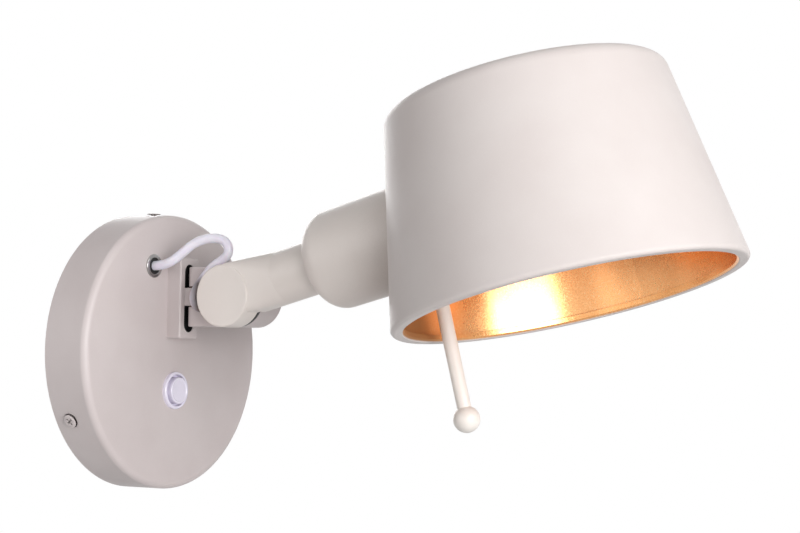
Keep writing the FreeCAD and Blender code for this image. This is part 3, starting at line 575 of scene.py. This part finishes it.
# The push switch: a glossy lilac-white button in a rounded bezel. A nut behind the cover holds the barrel,
# the switch body sits on its end, and a wire spring lifts the button.
glossy_white, _, shader, _ = new_finish("glossy_switch_moulding", moulded, 0.05, 0.00004,
                                        Colour=colour(234, 228, 243), Shade=colour(228, 222, 238),
                                        Gloss_Low=0.16, Gloss_High=0.26)
shader.inputs["Coat Weight"].default_value = 0.4
shader.inputs["Coat Roughness"].default_value = 0.1
dress(glossy_white, "switch_bezel")
switch_down, button_press = 0.017, 0.002
cap_radius, cap_top, dish_radius, dish_floor, dish_middle = 0.0058, 0.0083, 0.0051, 0.0079, 0.00775
foot_radius, foot_top, bore_radius, bore_top = 0.0064, 0.0016, 0.0046, 0.0062
soft_edge, rim_edge, small_edge = 0.0005, 0.0003, 0.0001
low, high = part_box("switch_button")
work = bmesh.new()
spin(work, rounded([(0, dish_middle), (bore_radius, dish_floor, soft_edge), (dish_radius, cap_top, rim_edge),
                    (cap_radius, cap_top, soft_edge), (cap_radius, foot_top, small_edge),
                    (foot_radius, foot_top, small_edge), (foot_radius, 0, small_edge),
                    (bore_radius, 0, small_edge), (bore_radius, bore_top, rim_edge), (0, bore_top)], steps=8),
     (0, high.y, -switch_down), (0, -1, 0), sides=128)
button = add_piece("push_button", work, glossy_white, "button")
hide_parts("switch_button")
dress(bright_zinc, "switch_nut")
black_moulding, _, _, _ = new_finish("black_moulding", moulded, 0.2, 0.00008, Colour=colour(34, 33, 33),
                                     Shade=colour(26, 25, 25), Gloss_Low=0.4, Gloss_High=0.6)
dress(black_moulding, "switch_body")
low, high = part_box("switch_spring")
coils, coil_steps, wire_radius, wire_sides = 6, 32, 0.00035, 10
end_steps, steps = coil_steps * 3 // 4, coils * coil_steps
coil_radius, travel = (high.x - low.x) / 2 - wire_radius, high.y - low.y - 2 * wire_radius
work = bmesh.new()
rows = []
for step in range(steps + 1):
    angle = 2 * math.pi * step / coil_steps
    outward = Vector((math.cos(angle), 0, math.sin(angle)))
    climbed = travel * within_one((step - end_steps) / (steps - 2 * end_steps))
    middle = Vector(((low.x + high.x) / 2, high.y - wire_radius - climbed, (low.z + high.z) / 2))
    rows.append([work.verts.new(middle + outward * (coil_radius + wire_radius * math.cos(around))
                                + Vector((0, wire_radius * math.sin(around), 0)))
                 for around in (2 * math.pi * s / wire_sides for s in range(wire_sides))])
join_rows(work, rows, wire_sides)
work.faces.new(rows[0])
work.faces.new(rows[-1])
spring = add_piece("button_spring", work, bright_zinc, "base")
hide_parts("switch_spring")
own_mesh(spring)


# The cord's way out of the base: a chromed brass grommet with a black rubber bush round the cord, and a
# plastic nut behind the cover.
chrome = metal_finish("polished_chrome", 0.02, 0.00003, Colour=colour(178, 176, 175),
                      Cloud=colour(160, 158, 158), Spangle_Size=300.0, Gloss_Low=0.06, Gloss_High=0.13)
dress(chrome, "cord_grommet")
rubber, _, _, _ = new_finish("black_rubber", moulded, 0.25, 0.0001, Colour=colour(24, 23, 24),
                             Shade=colour(18, 17, 18), Gloss_Low=0.55, Gloss_High=0.75)
dress(rubber, "cord_bush")
dress(bright_zinc, "grommet_nut")


# The hinge block on the front of the base: die-cast zinc in the base's coat, with a round-ended pocket and
# a tongue in its middle. One screw through the cover and two pips hold it. Thin black sheets line the
# pocket above and below the tongue as painted shade for its dark depth.
dress(base_coat, "hinge_block")
low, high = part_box("hinge_block_screw")
block_rise = 0.003
work = bmesh.new()
driven_head(work, (0, high.y - block_rise, (low.z + high.z) / 2), (0, 1, 0), radius=0.0046, rise=block_rise,
            crown=0.0012, shank=0.0025, length=high.y - low.y - block_rise, recess=cross_recess, deep=0.0015,
            turned=0.2)
block_screw = add_piece("block_screw", work, bright_zinc, "base")
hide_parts("hinge_block_screw")
# Painted shade: thin black sheets inside the pocket stand in for the shade deep in it.
pocket_up, pocket_half, pocket_end = 0.0234, 0.0034, 0.0149
tongue_up, tongue_half = 0.024, 0.00385
pocket_floor, pocket_mouth = -0.0256, -0.0288
shade_sheet_gap, shade_sheet_inside, arch_steps = 0.00002, 0.0003, 24
arch = [math.pi * step / arch_steps for step in range(arch_steps + 1)]
work = bmesh.new()
for side in (-1, 1):
    tongue_side = side * (tongue_up - pocket_up) + tongue_half
    rows = []
    for inset, y in ((shade_sheet_gap, pocket_mouth), (shade_sheet_gap, pocket_floor - shade_sheet_gap),
                     (shade_sheet_inside, pocket_floor - shade_sheet_inside), (shade_sheet_inside, pocket_mouth)):
        radius = pocket_half - inset
        outline = [(radius, tongue_side + inset)]
        outline += [(radius * math.cos(angle), pocket_end - pocket_half + radius * math.sin(angle))
                    for angle in arch]
        outline.append((-radius, tongue_side + inset))
        rows.append([work.verts.new((x, y, pocket_up + side * z)) for x, z in outline])
    join_rows(work, rows[:2], len(rows[0]))
    join_rows(work, rows[2:] + rows[:1], len(rows[0]))
    work.faces.new(rows[1])
    work.faces.new(rows[2])
add_piece("pocket_shade_sheets", work, rubber, "base")


# The upright hinge: a zinc-plated pin through the tongue and both lugs, with a dark fibre washer above and
# below the tongue.
dress(bright_zinc, "hinge_pin")
fibre, _, _, _ = new_finish("pressed_fibre", moulded, 0.4, 0.0002, Colour=colour(88, 62, 46),
                            Shade=colour(66, 44, 34), Gloss_Low=0.6, Gloss_High=0.8)
dress(fibre, "swing_washers")


# The swivel fork: a die-cast knuckle in the same coat. Two lugs hold the pin, and half of its nose is cut
# away for the arm's disc, against which a dark fibre washer rubs. The cut face is painted near black as
# painted shade, for the dark slit between fork and disc.
cut_radius, cut_side, cut_depth = 0.0146, -0.0004, 0.0006
fork_coat, tree, shader, skin = new_finish("fork_coat", coat, 0.18, 0.00008)
shader.inputs["Coat Weight"].default_value = 0.05
around, place = from_tilt_axis(tree)
# Painted shade: the coat turns near black on the cut face beside the disc.
painted_slit_shade = maths(tree, "MULTIPLY", maths(tree, "LESS_THAN", around, cut_radius),
               maths(tree, "COMPARE", place[0], cut_side, cut_depth))
tree.links.new(blend_colours(tree, painted_slit_shade, skin.outputs["Colour"], colour(38, 34, 32)),
               shader.inputs["Base Color"])
dress(fork_coat, "swivel_fork")
dress(fibre, "friction_washer")


# The tilt bolt: a black socket-head bolt with a disc spring under it, in a recess on the right of the fork,
# screwed into a brass insert in the arm's disc.
black_steel = metal_finish("blackened_steel", 0.1, 0.00005, Colour=colour(58, 57, 58),
                           Cloud=colour(42, 42, 43), Spangle_Size=700.0, Gloss_Low=0.28, Gloss_High=0.45)
dress(bright_zinc, "disc_spring")
dress(brass, "tilt_insert")
low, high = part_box("tilt_bolt")
bolt_rise = 0.0028
work = bmesh.new()
driven_head(work, (high.x - bolt_rise, (low.y + high.y) / 2, (low.z + high.z) / 2), (1, 0, 0), radius=0.0044,
            rise=bolt_rise, crown=0.0006, shank=0.0025, length=high.x - low.x - bolt_rise, recess=hex_recess,
            deep=0.0018, turned=0.35)
bolt = add_piece("socket_bolt", work, black_steel, "arm")
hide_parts("tilt_bolt")


# The arm: a short aluminium tube cast in one with the round tilting disc, in the same coat painted lighter
# as painted light. A plug with a threaded steel nipple closes its far end, and a fibre washer lets the lamp
# head turn there.
# Painted light: colours lighter than the base's coat, for the light the arm and cup catch.
arm_lit_colours = dict(Colour=colour(231, 222, 216), Cloud=colour(227, 217, 211), Rubbed=colour(240, 234, 228))
arm_coat, _, shader, _ = new_finish("arm_coat", coat, 0.14, 0.00006, Gloss_Low=0.34, Gloss_High=0.44,
                                    **arm_lit_colours)
shader.inputs["Coat Weight"].default_value = 0.08
dress(arm_coat, "arm_tube")
dress(bright_zinc, "arm_plug", "nipple")
dress(fibre, "turn_washer")


# The lamp cup: a spun steel cup over the lampholder, in the arm's coat, painted lighter as painted light,
# with a hexagon nut inside. It also carries painted shade, darker close to the lampshade that shadows it.
cup_coat, tree, shader, skin = new_finish("cup_coat", coat, 0.14, 0.00006, Gloss_Low=0.36, Gloss_High=0.46,
                                          **arm_lit_colours)
shader.inputs["Coat Weight"].default_value = 0.06
# Painted shade: ambient occlusion darkens the cup's colour next to the lampshade.
cup_shadow_reach, cup_shadow_from, cup_shadow_fully = 0.045, 0.92, 0.5
cup_shadow = tree.nodes.new("ShaderNodeAmbientOcclusion")
cup_shadow.inputs["Distance"].default_value = cup_shadow_reach
tree.links.new(blend_colours(tree, remap(tree, cup_shadow.outputs["AO"], cup_shadow_from, cup_shadow_fully),
                             skin.outputs["Colour"], colour(156, 142, 134)), shader.inputs["Base Color"])
dress(cup_coat, "lamp_cup")
dress(bright_zinc, "cup_locknut")


# The lampholder: a white moulded sleeve, held in the cup by the nut, with a threaded brass shell and a
# sprung brass centre contact.
dress(dull_white, "lampholder")
dress(brass, "centre_contact", "contact_shell")


# The shade: a tapered drum spun from aluminium with a rolled rim, in the same coat made paler as painted
# light and a little smoother, on a moulded ring that turns on the lampholder.
# Painted light: the shade's colours are paler than the base's coat, for the light it catches.
shade_coat, shade_tree, shade_shader, shade_skin = new_finish(
    "shade_coat", coat, 0.12, 0.00006, Colour=colour(212, 204, 201), Cloud=colour(208, 199, 196),
    Rubbed=colour(228, 222, 219), Gloss_Low=0.38, Gloss_High=0.48)
shade_shader.inputs["Specular IOR Level"].default_value = 0.25
dress(shade_coat, "shade_shell")
dress(dull_white, "shade_ring")


# The gold liner inside the shade: aluminium sprayed with a copper-gold metallic lacquer, whose flakes show
# as faint bright and dark specks. The lacquer carries painted shade in one place beside the lampholder,
# browner, darker and duller there, and it also covers the inner edge of the shade's rolled rim.
lacquer, given, out = shader_group(
    "flake_lacquer",
    [("Colour", "NodeSocketColor", colour(247, 181, 119)),
     ("Dark Flake", "NodeSocketColor", colour(238, 166, 103)),
     ("Light Flake", "NodeSocketColor", colour(253, 205, 150)), ("Flake Size", "NodeSocketFloat", 1400.0)],
    skin_outputs)
dark_from, dark_fully, light_from, light_fully = 0.5, 0.3, 0.58, 0.75
flakes = noise(lacquer, given["Flake Size"], detail=2.0)
drift = noise(lacquer, scale=60.0, detail=3.0)
body = blend_colours(lacquer, remap(lacquer, flakes, dark_from, dark_fully), given["Colour"],
                     given["Dark Flake"])
body = blend_colours(lacquer, remap(lacquer, flakes, light_from, light_fully), body, given["Light Flake"])
lacquer.links.new(body, out["Colour"])
lacquer.links.new(remap(lacquer, maths(lacquer, "ADD", flakes, drift), 0.7, 1.3, 0.2, 0.3), out["Roughness"])
lacquer.links.new(flakes, out["Height"])
gold, tree, shader, skin = new_finish("gold_lacquer", lacquer, 0.1, 0.0001)
shader.inputs["Metallic"].default_value = 1.0
shader.inputs["Coat Roughness"].default_value = 0.2


def lacquer_with_shade_patch(tree, finish):
    # The colour and roughness of the lacquer with its patch of painted shade, dark, brown and dull, and the
    # patch's mask.
    shade_patch_middle, shade_patch_within, shade_patch_ends, shade_patch_roughness = (-0.024, -0.1552, 0.01), 0.024, 0.053, 0.7
    near = vector_maths(tree, "DISTANCE", skin_place(tree), shade_patch_middle)
    shade_patch = remap(tree, near, shade_patch_within, shade_patch_ends, 1.0, 0.0)
    return (blend_colours(tree, shade_patch, finish.outputs["Colour"], colour(182, 132, 86)),
            remap(tree, shade_patch, 0.0, 1.0, finish.outputs["Roughness"], shade_patch_roughness), shade_patch)


# Painted shade: the patch beside the lampholder is brown, dark and dull, with less clear coat.
tint, rough, shade_patch = lacquer_with_shade_patch(tree, skin)
tree.links.new(tint, shader.inputs["Base Color"])
tree.links.new(rough, shader.inputs["Roughness"])
tree.links.new(remap(tree, shade_patch, 0.0, 1.0, 0.5, 0.0), shader.inputs["Coat Weight"])
dress(gold, "shade_liner")

# The inner edge of the rim: lacquer within the mouth's radius and below the liner's end. The edge stands
# upright in the mesh, and the flare tips its shading outwards so that it carries on the liner's slope.
shade_lean, shade_along, shade_above = math.radians(15), 0.154, 0.0018
mouth_radius, gilt_within, bare_from = 0.066, 0.0005, 0.0009
liner_end, gilt_below, flare_slope = -0.0411, -0.0415, 0.172
shade_axis = (0, math.sin(shade_lean), math.cos(shade_lean))
shade_middle = (0, -tilt_out - shade_along * math.cos(shade_lean) + shade_above * math.sin(shade_lean),
                tilt_up + shade_along * math.sin(shade_lean) + shade_above * math.cos(shade_lean))
offset = vector_maths(shade_tree, "SUBTRACT", skin_place(shade_tree), shade_middle)
reach = vector_maths(shade_tree, "LENGTH", vector_maths(shade_tree, "CROSS_PRODUCT", offset, shade_axis))
level = vector_maths(shade_tree, "DOT_PRODUCT", offset, shade_axis)
gilt = maths(shade_tree, "MULTIPLY",
             remap(shade_tree, reach, mouth_radius + bare_from, mouth_radius + gilt_within),
             remap(shade_tree, level, liner_end, gilt_below))
spray = shade_tree.nodes.new("ShaderNodeGroup")
spray.node_tree = lacquer
# The rim's lacquer carries the same patch of painted shade.
tint, rough, _ = lacquer_with_shade_patch(shade_tree, spray)
shade_tree.links.new(blend_colours(shade_tree, gilt, shade_skin.outputs["Colour"], tint),
                     shade_shader.inputs["Base Color"])
shade_tree.links.new(remap(shade_tree, gilt, 0.0, 1.0, shade_skin.outputs["Roughness"], rough),
                     shade_shader.inputs["Roughness"])
shade_tree.links.new(gilt, shade_shader.inputs["Metallic"])
flare = shade_tree.nodes.new("ShaderNodeBump")
flare.inputs["Distance"].default_value = 1.0
shade_tree.links.new(gilt, flare.inputs["Strength"])
shade_tree.links.new(maths(shade_tree, "MULTIPLY", level, flare_slope), flare.inputs["Height"])
shade_tree.links.new(shade_shader.inputs["Normal"].links[0].from_socket, flare.inputs["Normal"])
shade_tree.links.new(flare.outputs[0], shade_shader.inputs["Normal"])


# The handle that turns the shade: a thin steel rod pressed into the ring, with a ball on its end, both in
# the lamp's coat painted paler as painted light.
# Painted light: paler colours than the base's coat, for the light the handle catches.
handle_coat, _, _, _ = new_finish("handle_coat", coat, 0.1, 0.00005, Colour=colour(236, 230, 224),
                                  Cloud=colour(232, 225, 218), Rubbed=colour(243, 239, 235),
                                  Gloss_Low=0.28, Gloss_High=0.36)
dress(handle_coat, "handle_rod", "handle_ball")


# The bulb: a small opal globe on a white plastic collar with a threaded metal cap, which screws into the
# lampholder. It isn't lit.
globe_glass, _, _, _ = new_finish("opal_globe", moulded, 0.02, 0.00003, Colour=colour(250, 246, 238),
                                  Shade=colour(247, 242, 232), Gloss_Low=0.12, Gloss_High=0.2)
dress(globe_glass, "bulb_globe")
dress(dull_white, "bulb_collar")
dress(chrome, "bulb_cap")
